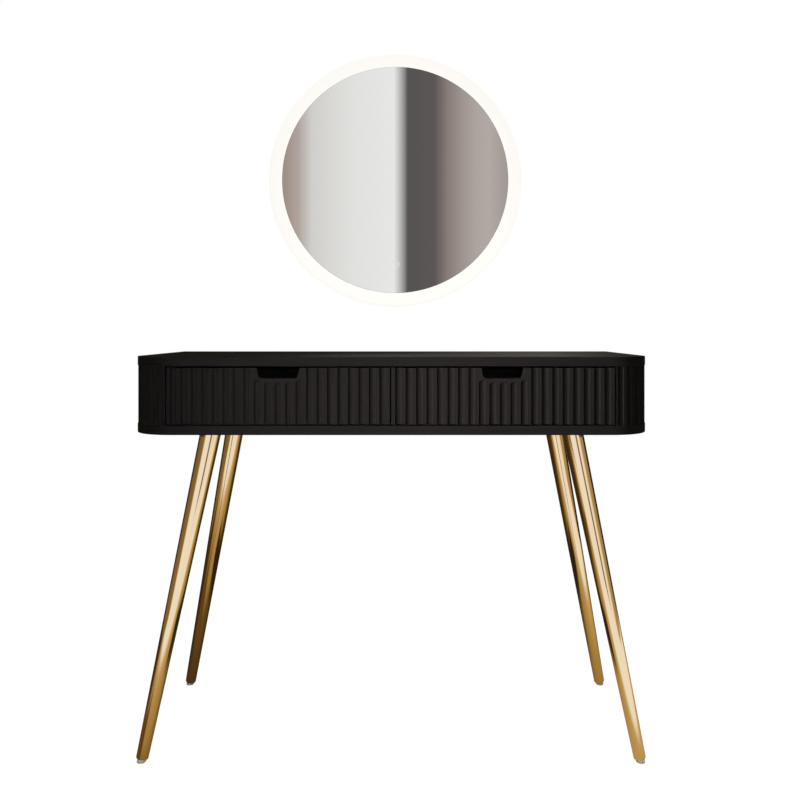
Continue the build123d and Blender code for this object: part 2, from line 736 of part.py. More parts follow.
rivets = hanger_rivets()
grommet_hole = turned(
    (0, CHASSIS_BACK),
    (GROMMET_HOLE_R, CHASSIS_BACK),
    (GROMMET_HOLE_R, CHASSIS_REAR),
    (0, CHASSIS_REAR),
    down=GROMMET_DOWN,
)
nodes["mirror_glass"] = [
    turned((0, 0), (MIRROR_GLASS_R, 0), (MIRROR_GLASS_R, MIRROR_GLASS_T), (0, MIRROR_GLASS_T))
]
nodes["diffuser_ring"] = [diffuser_ring()]
nodes["mirror_chassis"] = [chassis() - rivets - grommet_hole]
nodes["light_strip"] = [light_strip()]
nodes["light_driver"] = [driver()]
nodes["touch_sensor"] = [
    rod((0, BACK_Y + MIRROR_GLASS_T, MIRROR_Z - SENSOR_DOWN), BACKWARD, SENSOR_R, SENSOR_T)
]
nodes["cable_grommet"] = [grommet()]
nodes["hanger_rail"] = [hanger_rail() - rivets]
nodes["hanger_rivets"] = rivets
nodes["wall_bumpers"] = wall_bumpers()
nodes["wall_rail"] = [wall_rail()]

os.makedirs("parts", exist_ok=True)
for name, solids in nodes.items():
    shape = solids[0] if len(solids) == 1 else Compound(children=solids)
    export_step(shape, f"parts/{name}.step")
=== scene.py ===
"""Finishes, small fittings and studio for a fluted vanity table and its lit round mirror."""

from math import cos, pi, radians, sin, tau

import bmesh
import bpy
from bpy.props import FloatProperty, FloatVectorProperty, IntProperty, PointerProperty
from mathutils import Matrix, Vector


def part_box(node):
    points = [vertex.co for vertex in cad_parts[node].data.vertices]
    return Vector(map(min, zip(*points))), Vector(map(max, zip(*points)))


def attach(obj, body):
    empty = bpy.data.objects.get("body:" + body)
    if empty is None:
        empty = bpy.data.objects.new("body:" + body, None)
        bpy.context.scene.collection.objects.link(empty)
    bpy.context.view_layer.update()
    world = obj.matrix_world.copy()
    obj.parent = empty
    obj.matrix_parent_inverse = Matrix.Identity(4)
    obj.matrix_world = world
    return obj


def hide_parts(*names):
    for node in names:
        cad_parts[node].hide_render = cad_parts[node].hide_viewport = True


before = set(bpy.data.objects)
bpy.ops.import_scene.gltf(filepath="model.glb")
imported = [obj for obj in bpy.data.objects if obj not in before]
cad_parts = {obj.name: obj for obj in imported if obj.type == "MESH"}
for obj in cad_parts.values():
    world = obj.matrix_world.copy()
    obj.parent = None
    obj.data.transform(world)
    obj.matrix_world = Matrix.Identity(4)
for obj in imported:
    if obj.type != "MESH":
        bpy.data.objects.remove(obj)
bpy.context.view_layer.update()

bl_info = {
    "name": "Vanity Table Finishes",
    "version": (1, 0, 0),
    "blender": (4, 5, 0),
    "location": "View3D > Sidebar > Vanity",
    "description": "Finishes, fittings and studio for a fluted vanity table with a lit round mirror",
    "category": "Object",
}

# Names and numbers for reading the frame and writing the pieces

X, Y, Z = range(3)
HANDS = ("left", "right")
CORNERS = ("front_left", "front_right", "rear_left", "rear_right")
AIM = "aim"
ZINC = "zinc_plate"
MERGE_DISTANCE = 1e-6
SORT_DIGITS = 4
WHITE = (1.0, 1.0, 1.0)

# Numbers of sockets whose names occur more than once on their node

MIX_FIRST = 6
MIX_SECOND = 7
MIX_RESULT = 2
RANDOM_VECTOR = 0

# Grain and gloss of the black boards, as shares

FIBRE_RISE = 0.5
PORE_FINENESS = 2.7
PORE_COVER = 0.55
PORE_SHADE = 0.5
PORE_SINK = 0.8
PORE_ROUGHNESS = 0.12
EDGING_FIBRES = 1.35
FOIL_FIBRES = 1.28
DECOR_GLOSS = 0.05
FOIL_GLOSS = 0.04

# Driven fixings one unit across, as rings of a radius and a distance from the face or from the end

HEAD_SIDES = 32
HEAD_RADIUS = 0.5
RECESS_FLOOR = 0.72
SCREW_FACE = ((0.47, 0.0), (HEAD_RADIUS, 0.02))
SCREW_TAPER = 0.01
SCREW_POINT = 0.3
SCREW_TIP = 0.03
SCREW_CROSS = (0.26, 0.065)
SCREW_RECESS = 0.2
WIDE_SHANK = 0.30
THIN_SHANK = 0.25
HEX_FACE = ((0.48, 0.0), (HEAD_RADIUS, 0.02), (0.35, 0.15))
HEX_END = ((0.35, 0.3), (0.12, 0.0))
HEX_SOCKET = 0.22
HEX_RECESS = 0.3
HEX_SIDES = 6
CAM_FACE = ((0.45, 0.0), (HEAD_RADIUS, 0.04))
CAM_END = ((HEAD_RADIUS, 0.0),)
CAM_CROSS = (0.30, 0.075)
CAM_RECESS = 0.16

# Turned fixings one unit across, as rings of a radius and a depth below the crown

BOLT_PROFILE = (
    (0.0, 0.0), (0.42, 0.0), (0.5, 0.1), (0.5, 0.5), (0.32, 0.7), (0.32, 2.6), (0.5, 2.7)
)
RIVET_PROFILE = (
    (0.0, 0.0), (0.14, 0.005), (0.28, 0.03), (0.40, 0.075), (0.48, 0.13), (0.5, 0.19), (0.25, 0.19)
)

# Nails, with the radius of the crown as a share of the head's diameter

NAIL_SIDES = 12
NAIL_CROWN = 0.36

# Touch key in metres, with its power sign in shares of the ring round it and of the sign's radius

KEY_THICKNESS = 0.0003
KEY_STEPS = 72
SIGN_RADIUS = 0.52
SIGN_STROKE = 0.8
SIGN_GAP = radians(38)
SIGN_BAR_LOW = 0.25
SIGN_BAR_HIGH = 1.12

# Studio sizes in metres, and the share of its white that polished surfaces see

FLOOR_REACH = 9.0
DRUM_RADIUS = 4.2
DRUM_LOW = -2.5
DRUM_HIGH = 4.6
DRUM_SIDES = 128
TONE_REACH = 2.4
TONE_SIDES = 96
WHITE_GLOSS = 0.25

# Lamps, by name, power in watts, place, aim, size and spread in degrees

LAMPS = (
    ("key_lamp", 1.85, (-1.60, -1.10, 1.15), (0.80, -0.20, 0.70), (0.15, 0.6), 23),
    ("middle_lamp", 1.0, (-1.24, -2.00, 0.90), (0.05, -0.22, 0.70), (0.15, 0.6), 19),
    ("left_lamp", 0.34, (-0.70, -2.45, 0.88), (-0.30, -0.22, 0.70), (0.15, 0.6), 13),
    ("left_rear_lamp", 3.4, (-1.93, 1.84, 1.1), (0.0, 0.1, 0.9), (1.0, 1.0), 55),
    ("right_rear_lamp", 3.4, (1.93, 1.84, 1.1), (0.0, 0.1, 0.9), (1.0, 1.0), 55),
    ("top_lamp", 2.2, (0.0, -0.1, 3.2), (0.0, -0.1, 0.7), (1.0, 0.6), 60),
    ("floor_lamp", 1.1, (0.0, -3.0, 0.06), (0.0, 0.0, 0.02), (2.0, 0.08), 20),
)

# Floor that polished surfaces see, with painted light and shade by metres forward along a slant, a
# painted shadow of the table under it and painted shade by its left end

TONE_SLANT = 0.45
FLOOR_SHADE_AND_LIGHT = (
    (-0.45, (0.05, 0.03, 0.01)),
    (-0.08, (0.15, 0.095, 0.03)),
    (0.10, (0.40, 0.27, 0.09)),
    (0.26, (0.46, 0.32, 0.12)),
    (0.56, (0.62, 0.46, 0.24)),
    (0.78, (1.00, 1.03, 1.15)),
)
SHADOW_TONE = (0.03, 0.02, 0.01)
# Where the painted shadow of the table on the floor fades out, across and forward
TABLE_SHADOW_ASIDE = (0.08, 0.20)
TABLE_SHADOW_FRONT = (0.20, 0.34)
# Where painted shade lies on the floor to the left of the table, and its tone
SIDE_SHADE_SLANT = 0.6
SIDE_SHADE_EDGE = (-0.38, -0.33)
SIDE_SHADE_FRONT = (-0.05, 0.10)
SIDE_SHADE_REACH = (-0.95, -0.80)
SIDE_SHADE_TONE = (0.13, 0.07, 0.015)
MIRRORED_FLOOR = (0.60, 0.60, 0.61)

# Panels that metal and mirror see, by degrees to the right of straight ahead

HALF_TURN = 180
PANEL_WHITE = (1.00, 1.05, 1.28)
PANEL_BRONZE = (0.26, 0.17, 0.07)
PANEL_BLACK = (0.02, 0.02, 0.01)
PANEL_REAR = (0.05, 0.04, 0.03)
METAL_ROW = (
    (-180, PANEL_REAR),
    (-166, PANEL_BLACK),
    (-112, PANEL_BLACK),
    (-98, (0.20, 0.13, 0.05)),
    (-80, (0.24, 0.16, 0.06)),
    (-44, (0.28, 0.19, 0.07)),
    (-37, (0.70, 0.62, 0.52)),
    (-31, PANEL_WHITE),
    (12, PANEL_WHITE),
    (17, PANEL_BRONZE),
    (27, PANEL_BRONZE),
    (32, PANEL_WHITE),
    (50, (0.95, 0.94, 1.00)),
    (60, (0.50, 0.37, 0.20)),
    (92, (0.42, 0.30, 0.15)),
    (104, SHADOW_TONE),
    (158, SHADOW_TONE),
    (167, (0.60, 0.54, 0.48)),
    (180, PANEL_REAR),
)
MIRROR_ROW = (
    (-180, (0.30, 0.30, 0.31)),
    (-100, (0.34, 0.34, 0.35)),
    (-70, (0.50, 0.50, 0.51)),
    (-30, (0.74, 0.74, 0.75)),
    (-17, (0.80, 0.78, 0.76)),
    (-13, (0.36, 0.28, 0.24)),
    (-11.5, (0.40, 0.32, 0.28)),
    (-10.5, (0.66, 0.64, 0.62)),
    (-6, (0.80, 0.79, 0.77)),
    (-1.0, (0.86, 0.85, 0.84)),
    (-0.4, (0.10, 0.09, 0.09)),
    (3.6, (0.12, 0.10, 0.10)),
    (4.4, (0.30, 0.25, 0.23)),
    (8, (0.50, 0.44, 0.41)),
    (12, (0.30, 0.26, 0.24)),
    (17, (0.46, 0.44, 0.43)),
    (30, (0.70, 0.70, 0.71)),
    (70, (0.50, 0.50, 0.51)),
    (100, (0.34, 0.34, 0.35)),
    (180, (0.30, 0.30, 0.31)),
)


# Places read from the frame


def middle(node):
    """Middle of the box round a node."""
    low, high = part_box(node)
    return (low + high) / 2


def radius(node):
    """Half the width of a node."""
    low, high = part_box(node)
    return (high.x - low.x) / 2


GLASS_MIDDLE = middle("mirror_glass")
GLASS_RADIUS = radius("mirror_glass")
GLASS_FACE_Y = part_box("mirror_glass")[0].y
RING_RADIUS = radius("diffuser_ring")


# Settings


def colour_setting(name, description, value):
    """A colour that a user can change."""
    return FloatVectorProperty(
        name=name, description=description, subtype="COLOR", size=3, min=0, max=1, default=value
    )


def number_setting(name, description, value, **kind):
    """A number that a user can change."""
    return FloatProperty(name=name, description=description, default=value, **kind)


def length_setting(name, description, value):
    """A length in metres that a user can change."""
    return number_setting(name, description, value, unit="LENGTH", min=0, precision=4)


def factor_setting(name, description, value):
    """A share from nothing to all that a user can change."""
    return number_setting(name, description, value, subtype="FACTOR", min=0, max=1)


class BoardSettings(bpy.types.PropertyGroup):
    """Black decor, fluted foil and drawer board."""

    black: colour_setting("Black", "Ground tone of the black decor", (0.0118, 0.0100, 0.0094))
    black_grain: colour_setting("Grain", "Lighter fibres in the black decor", (0.0172, 0.0148, 0.0138))
    edging: colour_setting("Edging", "Plastic edging of the boards", (0.0121, 0.0103, 0.0097))
    foil: colour_setting("Foil", "Foil over the milled flutes", (0.0150, 0.0128, 0.0121))
    hardboard: colour_setting("Hardboard", "Black face of the thin boards", (0.0200, 0.0180, 0.0170))
    graphite: colour_setting("Graphite", "Melamine of the drawer boxes", (0.0520, 0.0480, 0.0450))
    fibre_length: length_setting("Fibre length", "Length of a fibre in the grain", 0.16)
    fibre_width: length_setting("Fibre width", "Width of a fibre in the grain", 0.0016)
    roughness: factor_setting("Roughness", "Roughness of the matt decor", 0.44)


class MetalSettings(bpy.types.PropertyGroup):
    """Plated legs and zinc fittings."""

    gold: colour_setting("Gold", "Colour of the plated legs", (0.87, 0.70, 0.43))
    gold_deep: colour_setting("Deep gold", "Colour where the plate is thicker", (0.83, 0.64, 0.37))
    gold_roughness: factor_setting("Gold roughness", "Roughness of the polished plate", 0.075)
    zinc: colour_setting("Zinc", "Colour of the bright zinc plate", (0.62, 0.62, 0.63))
    zinc_roughness: factor_setting("Zinc roughness", "Roughness of the zinc plate", 0.30)


class MirrorSettings(bpy.types.PropertyGroup):
    """Silvered glass, opal ring, housing and touch key."""

    silver: colour_setting("Silver", "Colour of the silvered glass", (0.93, 0.94, 0.94))
    rim: colour_setting("Glass rim", "Tint of the glass at its rim", (0.72, 0.80, 0.78))
    rim_width: length_setting("Rim width", "Width of the tinted rim", 0.0022)
    opal: colour_setting("Opal", "Unlit colour of the opal ring", (0.12, 0.117, 0.11))
    glow: colour_setting("Glow", "Light of the opal ring", (0.960, 0.935, 0.891))
    coat: colour_setting("Coat", "Powder coat of the chassis", (0.74, 0.74, 0.73))
    plastic: colour_setting("Plastic", "Light strip and driver", (0.78, 0.78, 0.76))
    mask: colour_setting("Solder mask", "Circuit board of the touch sensor", (0.03, 0.11, 0.06))
    rubber: colour_setting("Rubber", "Grommet and wall bumpers", (0.024, 0.023, 0.022))
    key: colour_setting("Key", "Unlit lines of the touch key", (0.30, 0.30, 0.29))
    key_glow: colour_setting("Key glow", "Light of the touch key", (0.70, 0.69, 0.67))
    key_dim: colour_setting("Dim key glow", "Light of the key's dimmer spots", (0.64, 0.63, 0.61))
    key_radius: length_setting("Key radius", "Radius of the touch key's ring", 0.0103)
    key_stroke: length_setting("Key stroke", "Width of the touch key's lines", 0.0014)


class FittingSettings(bpy.types.PropertyGroup):
    """Nails, screws, cams, rivets, dowels and glides."""

    nail_spacing: length_setting("Nail spacing", "Distance between nails", 0.105)
    nail_head: length_setting("Nail head", "Diameter of a nail's head", 0.0048)
    nail_rise: length_setting("Nail rise", "Height of a nail's head", 0.0007)
    nail_inset: length_setting("Nail inset", "Distance from the panel's edge", 0.0045)
    beech: colour_setting("Beech", "Light wood of the dowels", (0.66, 0.47, 0.28))
    beech_dark: colour_setting("Dark beech", "Dark wood of the dowels", (0.46, 0.29, 0.15))
    nylon: colour_setting("Nylon", "Glides under the legs", (0.86, 0.84, 0.80))
    seed: IntProperty(name="Seed", description="Seed for the turn of each screw", default=7)


class StudioSettings(bpy.types.PropertyGroup):
    """Camera, lamps and surroundings."""

    camera_place: FloatVectorProperty(
        name="Camera place", description="Where the camera stands",
        subtype="TRANSLATION", unit="LENGTH", size=3, default=(0.0425, -1.7935, 0.830),
    )
    lens: number_setting("Lens", "Focal length in millimetres", 37.54, unit="CAMERA")
    shift_x: number_setting("Shift X", "Sideways shift of the lens", -0.0164)
    shift_y: number_setting("Shift Y", "Upward shift of the lens", -0.0883)
    light: factor_setting("Light", "Share of the lamps' full power", 1.0)
    ambient: factor_setting("Ambient", "Light from all round", 0.08)
    floor: factor_setting("Floor", "Paleness of the grey floor", 0.30)


class VanitySettings(bpy.types.PropertyGroup):
    """All settings of the vanity table."""

    boards: PointerProperty(type=BoardSettings)
    metals: PointerProperty(type=MetalSettings)
    mirror: PointerProperty(type=MirrorSettings)
    fittings: PointerProperty(type=FittingSettings)
    studio: PointerProperty(type=StudioSettings)


# Node writing


def add_node(tree, kind, sockets, settings):
    """Add a node to a tree, set it up, and fill or link its sockets."""
    node = tree.nodes.new(kind)
    for name, value in settings.items():
        if name == "stops":
            set_stops(node.color_ramp, value)
        else:
            setattr(node, name, value)
    for name, value in sockets.items():
        socket = node.inputs[name]
        if isinstance(value, bpy.types.NodeSocket):
            tree.links.new(value, socket)
        elif socket.type == "RGBA":
            socket.default_value = solid(value)
        else:
            socket.default_value = value
    return node


def set_stops(ramp, stops):
    """Give a new colour ramp its stops, each a position and a tone."""
    ramp.elements.remove(ramp.elements[-1])
    for index, (position, tone) in enumerate(stops):
        element = ramp.elements.new(position) if index else ramp.elements[0]
        element.position = position
        element.color = solid(tone)


def solid(colour):
    """A colour with full opacity."""
    return (*colour, 1.0)


def arithmetic(operation, turned=False):
    """A method of Wire that adds a Math node, with its two values swapped if turned."""

    def method(self, other):
        first, second = (other, self) if turned else (self, other)
        return self.shader.maths(operation, first, second)

    return method


class Wire:
    """A value leaving a shader node, with the arithmetic that finishes are written in."""

    def __init__(self, shader, socket):
        self.shader = shader
        self.socket = socket

    __add__ = __radd__ = arithmetic("ADD")
    __sub__ = arithmetic("SUBTRACT")
    __rsub__ = arithmetic("SUBTRACT", turned=True)
    __mul__ = __rmul__ = arithmetic("MULTIPLY")
    __or__ = arithmetic("MAXIMUM")


class Shader:
    """A node tree under construction, of a material or of the world."""

    def __init__(self, owner):
        owner.use_nodes = True
        owner.node_tree.nodes.clear()
        self.owner = owner

    def node(self, kind, output, sockets, **settings):
        """Add a shader node and give one of its outputs, if it has any."""
        plain = {name: getattr(value, "socket", value) for name, value in sockets.items()}
        node = add_node(self.owner.node_tree, f"ShaderNode{kind}", plain, settings)
        return Wire(self, node.outputs[output]) if node.outputs else None

    def maths(self, operation, *values):
        """The result of an operation on one or two values."""
        return self.node("Math", "Value", dict(enumerate(values)), operation=operation)

    def place(self):
        """Where a point lies on its piece."""
        return self.node("TexCoord", "Object", {})

    def plan(self):
        """How far a point lies to the right and to the front."""
        sockets = {"Vector": self.place()}
        return self.node("SeparateXYZ", "X", sockets), 0 - self.node("SeparateXYZ", "Y", sockets)

    def from_glass(self):
        """Distance from the middle of the mirror glass."""
        sockets = {0: self.place(), 1: GLASS_MIDDLE}
        return self.node("VectorMath", "Value", sockets, operation="DISTANCE")

    def noise(self, stretch=(1, 1, 1), scale=1.0, detail=3.0, roughness=0.5):
        """Soft noise between nothing and one, finer along the axes with more stretch."""
        vector = self.node("Mapping", "Vector", {"Vector": self.place(), "Scale": stretch})
        sockets = {"Vector": vector, "Scale": scale, "Detail": detail, "Roughness": roughness}
        return self.node("TexNoise", "Fac", sockets)

    def ease(self, value, low, high):
        """A smooth step from nothing at low to one at high."""
        sockets = {"Value": value, "From Min": low, "From Max": high}
        return self.node("MapRange", "Result", sockets, interpolation_type="SMOOTHSTEP")

    def mix(self, factor, first, second):
        """A colour between two colours."""
        sockets = {"Factor": factor, MIX_FIRST: first, MIX_SECOND: second}
        return self.node("Mix", MIX_RESULT, sockets, data_type="RGBA")

    def ramp(self, value, stops, reach=1.0):
        """A colour along a value from -1 to 1, from stops whose places run from -reach to reach."""
        shares = [(0.5 + 0.5 * position / reach, tone) for position, tone in stops]
        return self.node("ValToRGB", "Color", {"Fac": 0.5 + 0.5 * value}, stops=shares)

    def bump(self, height, strength, distance):
        """A normal that follows a height."""
        sockets = {"Height": height, "Strength": strength, "Distance": distance}
        return self.node("Bump", "Normal", sockets)

    def ray(self, kind):
        """One for rays of a kind, nothing for others."""
        return self.node("LightPath", f"Is {kind} Ray", {})

    def seen(self):
        """One for rays from the camera or through glass, less for those off polished surfaces."""
        clear = self.ray("Camera") | self.ray("Transmission")
        return clear + WHITE_GLOSS * self.ray("Glossy")

    def emission(self, tone, strength=1.0):
        """Light of a tone."""
        return self.node("Emission", "Emission", {"Color": tone, "Strength": strength})

    def finish(self, surface, output="OutputMaterial"):
        """End the tree with a surface, and give what it belongs to."""
        self.node(output, None, {"Surface": surface})
        return self.owner

    def principled(self, sockets):
        """End a material with one principled surface, and give the material."""
        return self.finish(self.node("BsdfPrincipled", "BSDF", sockets))


def shade(colour, share):
    """A darker or lighter tone of a colour."""
    return tuple(channel * share for channel in colour)


def swing(noise, span):
    """Noise that swings evenly about nothing."""
    return span * (noise - 0.5)


def new_finish(name):
    """The shader of a new material."""
    return Shader(bpy.data.materials.new(name))


# Finishes


def board_stretch(boards, long_axes):
    """Noise scale of the grain, with the fibres lying along the named axes."""
    fine = 1 / boards.fibre_width
    coarse = 1 / boards.fibre_length
    return tuple(coarse if axis in long_axes else fine for axis in "xyz")


def grained_black(boards, name, ground, fibres, stretch, gloss):
    """Matt black decor with faint fibres and pores along the coarse axes of stretch."""
    shader = new_finish(name)
    grain = shader.noise(stretch, detail=5.0, roughness=0.62)
    pores = shader.noise(shade(stretch, PORE_FINENESS), detail=2.0)
    cloud = shader.noise(scale=7.0, detail=2.0)
    fibre = shader.ease(grain, low=0.38, high=0.72)
    pore = shader.ease(pores, low=0.60, high=0.72)
    tone = shader.mix(fibre, ground, fibres)
    tone = shader.mix(pore * PORE_COVER, tone, shade(ground, PORE_SHADE))
    roughness = boards.roughness + swing(grain, span=0.12) + swing(cloud, span=0.10)
    height = grain * FIBRE_RISE - pore * PORE_SINK
    return shader.principled({
        "Base Color": tone,
        "Roughness": roughness + PORE_ROUGHNESS * pore,
        "Specular IOR Level": gloss,
        "Normal": shader.bump(height, strength=0.22, distance=0.00025),
    })


def graphite_board(boards):
    """Graphite melamine with a fine linen emboss for the drawer boxes."""
    shader = new_finish("graphite_melamine")
    fleck = shader.noise(scale=900.0, detail=2.0)
    weave_x = shader.noise((60, 2200, 2200), detail=1.0)
    weave_y = shader.noise((2200, 60, 60), detail=1.0)
    weave = 0.5 * (weave_x + weave_y)
    tone = shader.mix(fleck, shade(boards.graphite, 0.8), shade(boards.graphite, 1.25))
    return shader.principled({
        "Base Color": tone,
        "Roughness": 0.46 + swing(weave, span=0.2),
        "Specular IOR Level": 0.35,
        "Normal": shader.bump(weave, strength=0.25, distance=0.00015),
    })


def black_hardboard(boards):
    """Thin hardboard with a black face, slightly pebbled."""
    shader = new_finish("black_hardboard")
    pebble = shader.noise(scale=420.0, detail=4.0, roughness=0.6)
    drift = shader.noise(scale=6.0)
    tone = shader.mix(pebble, shade(boards.hardboard, 0.75), shade(boards.hardboard, 1.3))
    return shader.principled({
        "Base Color": tone,
        "Roughness": 0.58 + swing(drift, span=0.16),
        "Specular IOR Level": 0.30,
        "Normal": shader.bump(pebble, strength=0.3, distance=0.0002),
    })


def polished_gold(metals):
    """Polished gold-coloured plate, with faint draw lines and uneven plating."""
    shader = new_finish("polished_gold")
    plating = shader.noise((14, 14, 5), detail=2.0)
    lines = shader.noise((1600, 1600, 9), detail=2.0)
    waves = shader.noise((30, 30, 4), detail=1.0)
    return shader.principled({
        "Base Color": shader.mix(plating, metals.gold_deep, metals.gold),
        "Metallic": 1.0,
        "Roughness": metals.gold_roughness + swing(lines, span=0.05) + swing(plating, span=0.03),
        "Normal": shader.bump(waves + 0.03 * lines, strength=0.10, distance=0.0006),
    })


def zinc_plate(metals):
    """Bright zinc with rolling lines and a cloudy bloom, made once for all pieces."""
    if ZINC in bpy.data.materials:
        return bpy.data.materials[ZINC]
    shader = new_finish(ZINC)
    rolled = shader.noise((1500, 20, 1500))
    bloom = shader.noise(scale=70.0, detail=4.0, roughness=0.6)
    return shader.principled({
        "Base Color": shader.mix(bloom, shade(metals.zinc, 0.82), metals.zinc),
        "Metallic": 0.45 + 0.4 * bloom,
        "Roughness": metals.zinc_roughness + swing(rolled, span=0.16) + swing(bloom, span=0.14),
        "Normal": shader.bump(rolled, strength=0.12, distance=0.00012),
    })


def silvered_glass(mirror):
    """Silvered mirror glass, tinted in a narrow rim."""
    shader = new_finish("silvered_glass")
    rim = shader.ease(shader.from_glass(), GLASS_RADIUS - mirror.rim_width, GLASS_RADIUS)
    return shader.principled({
        "Base Color": shader.mix(rim, mirror.silver, mirror.rim),
        "Metallic": 1.0,
        "Roughness": 0.0,
    })


def lit_opal(mirror):
    """Opal acrylic lit from inside, a little dimmer towards its outer wall."""
    shader = new_finish("lit_opal")
    outer = shader.ease(shader.from_glass(), GLASS_RADIUS, RING_RADIUS)
    speckle = shader.noise(scale=260.0, detail=2.0)
    return shader.principled({
        "Base Color": shader.mix(speckle, shade(mirror.opal, 0.97), mirror.opal),
        "Roughness": 0.32 + swing(speckle, span=0.06),
        "Specular IOR Level": 0.25,
        "Emission Color": shader.mix(outer, mirror.glow, shade(mirror.glow, 0.985)),
        "Emission Strength": 1.0,
    })


def key_light(mirror):
    """Backlit lines of the touch key."""
    shader = new_finish("key_light")
    even = shader.noise(scale=500.0, detail=1.0)
    return shader.principled({
        "Base Color": mirror.key,
        "Roughness": 0.40 + swing(even, span=0.10),
        "Emission Color": shader.mix(even, mirror.key_dim, mirror.key_glow),
        "Emission Strength": 1.0,
    })


def moulded(name, colour, roughness, grain_scale, gloss=0.5):
    """A plain moulded or coated surface with a fine grain."""
    shader = new_finish(name)
    grain = shader.noise(scale=grain_scale)
    drift = shader.noise(scale=11.0, detail=2.0)
    return shader.principled({
        "Base Color": shader.mix(drift, shade(colour, 0.92), colour),
        "Roughness": roughness + swing(grain, span=0.12),
        "Specular IOR Level": gloss,
        "Normal": shader.bump(grain, strength=0.2, distance=0.00012),
    })


def beech(fittings):
    """Fluted beech dowel."""
    shader = new_finish("beech")
    grain = shader.noise((900, 900, 30), detail=4.0)
    return shader.principled({
        "Base Color": shader.mix(grain, fittings.beech_dark, fittings.beech),
        "Roughness": 0.62 + swing(grain, span=0.15),
        "Normal": shader.bump(grain, strength=0.3, distance=0.0002),
    })


def paint(material, *nodes):
    """Give nodes of the frame a finish."""
    for name in nodes:
        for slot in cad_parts[name].material_slots:
            slot.material = material


def each(piece, places=HANDS):
    """Names of the nodes of a piece that is in several places."""
    return [f"{place}_{piece}" for place in places]


# Fixings of the frame


def islands(node):
    """Lowest and highest corner of each separate solid in a node of the frame."""
    bm = bmesh.new()
    bm.from_mesh(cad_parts[node].data)
    bmesh.ops.remove_doubles(bm, verts=bm.verts, dist=MERGE_DISTANCE)
    waiting = set(bm.verts)
    boxes = []
    while waiting:
        island = [waiting.pop()]
        # The island grows while it is walked
        for vert in island:
            near = {edge.other_vert(vert) for edge in vert.link_edges} & waiting
            island += near
            waiting -= near
        axes = list(zip(*[vert.co for vert in island]))
        boxes.append((Vector([min(axis) for axis in axes]), Vector([max(axis) for axis in axes])))
    bm.free()
    return sorted(boxes, key=lambda box: [round(value, SORT_DIGITS) for value in box[0]])


def measure(box, along, across):
    """Diameter of the fixing in a box, and its length in such diameters."""
    size = box[1] - box[0]
    return size[across], size[along] / size[across]


def aimed(boxes, axis, way):
    """Place and aim of a fixing in each box, with its head where the aim starts."""
    aim = Vector((0, 0, 0))
    aim[axis] = way
    places = []
    for low, high in boxes:
        place = (low + high) / 2
        place[axis] = low[axis] if way > 0 else high[axis]
        places.append((place, aim))
    return places


def apart(boxes, axis, limit):
    """Boxes whose middle lies below a limit along an axis, and the others."""
    below = [box for box in boxes if (box[0][axis] + box[1][axis]) / 2 < limit]
    return below, [box for box in boxes if box not in below]


def by_length(boxes, axis):
    """Boxes shorter than half of the longest along an axis, and the others."""
    half = max(high[axis] - low[axis] for low, high in boxes) / 2
    short = [box for box in boxes if box[1][axis] - box[0][axis] <= half]
    return short, [box for box in boxes if box not in short]


def drawer_sides(boxes, hand, way):
    """Places in the sides of a drawer, aimed at its middle or, the other way, outwards."""
    left, right = apart(boxes, X, middle(f"{hand}_drawer_bottom").x)
    return aimed(left, X, way) + aimed(right, X, -way)


# Pieces made in mesh code


def new_piece(name, bm, material=None):
    """A mesh object at the origin from a finished mesh build."""
    mesh = bpy.data.meshes.new(name)
    bm.to_mesh(mesh)
    bm.free()
    piece = bpy.data.objects.new(name, mesh)
    bpy.context.scene.collection.objects.link(piece)
    if material:
        mesh.materials.append(material)
    return piece


def circle_points(reach, sides, height=0.0):
    """Points of a level circle."""
    angles = [tau * side / sides for side in range(sides)]
    return [(reach * cos(angle), reach * sin(angle), height) for angle in angles]


def cross_points(reach, half):
    """Points of a level cross."""
    corners = ((reach, -half), (reach, half), (half, half))
    points = []
    for quarter in range(4):
        turn = quarter * pi / 2
        for x, y in corners:
            points.append((x * cos(turn) - y * sin(turn), x * sin(turn) + y * cos(turn), 0.0))
    return points


def add_loop(bm, points):
    """A closed loop of edges through points."""
    verts = [bm.verts.new(point) for point in points]
    pairs = zip(verts, verts[1:] + verts[:1])
    return verts, [bm.edges.new(pair) for pair in pairs]


def bridge(bm, first, second):
    """Quads between two closed loops of as many verts."""
    count = len(first)
    for here in range(count):
        there = (here + 1) % count
        bm.faces.new((first[here], first[there], second[there], second[here]))


def add_ring(bm, reach, height, sides=HEAD_SIDES):
    """Verts of a level circle."""
    return [bm.verts.new(point) for point in circle_points(reach, sides, height)]


def add_shank(bm, last, rings):
    """Walls from a loop of verts through rings, closed at the end."""
    for ring in rings:
        verts = add_ring(bm, *ring)
        bridge(bm, last, verts)
        last = verts
    bm.faces.new(last)
    bmesh.ops.recalc_face_normals(bm, faces=bm.faces)


def driven_fixing(boxes, places, axes, recess, recess_depth, face, end):
    """The kind of fixing that fits boxes, whose driven face is at zero and looks down."""
    diameter, length = measure(boxes[0], *axes)
    rings = [*face, *[(reach, length - short) for reach, short in end]]
    bm = bmesh.new()
    outer, outer_edges = add_loop(bm, circle_points(rings[0][0], HEAD_SIDES, rings[0][1]))
    inner, inner_edges = add_loop(bm, recess)
    bmesh.ops.triangle_fill(bm, use_beauty=True, use_dissolve=False, edges=outer_edges + inner_edges)
    floor = [bm.verts.new((x * RECESS_FLOOR, y * RECESS_FLOOR, z + recess_depth)) for x, y, z in recess]
    bridge(bm, inner, floor)
    bm.faces.new(floor)
    add_shank(bm, outer, rings[1:])
    return new_piece("template", bm), diameter, places


def cross_slotted(boxes, places, axes, shank):
    """The kind of countersunk screw that fits boxes."""
    face = (*SCREW_FACE, (shank, HEAD_RADIUS - shank))
    end = ((shank - SCREW_TAPER, SCREW_POINT), (SCREW_TIP, 0.0))
    return driven_fixing(boxes, places, axes, cross_points(*SCREW_CROSS), SCREW_RECESS, face, end)


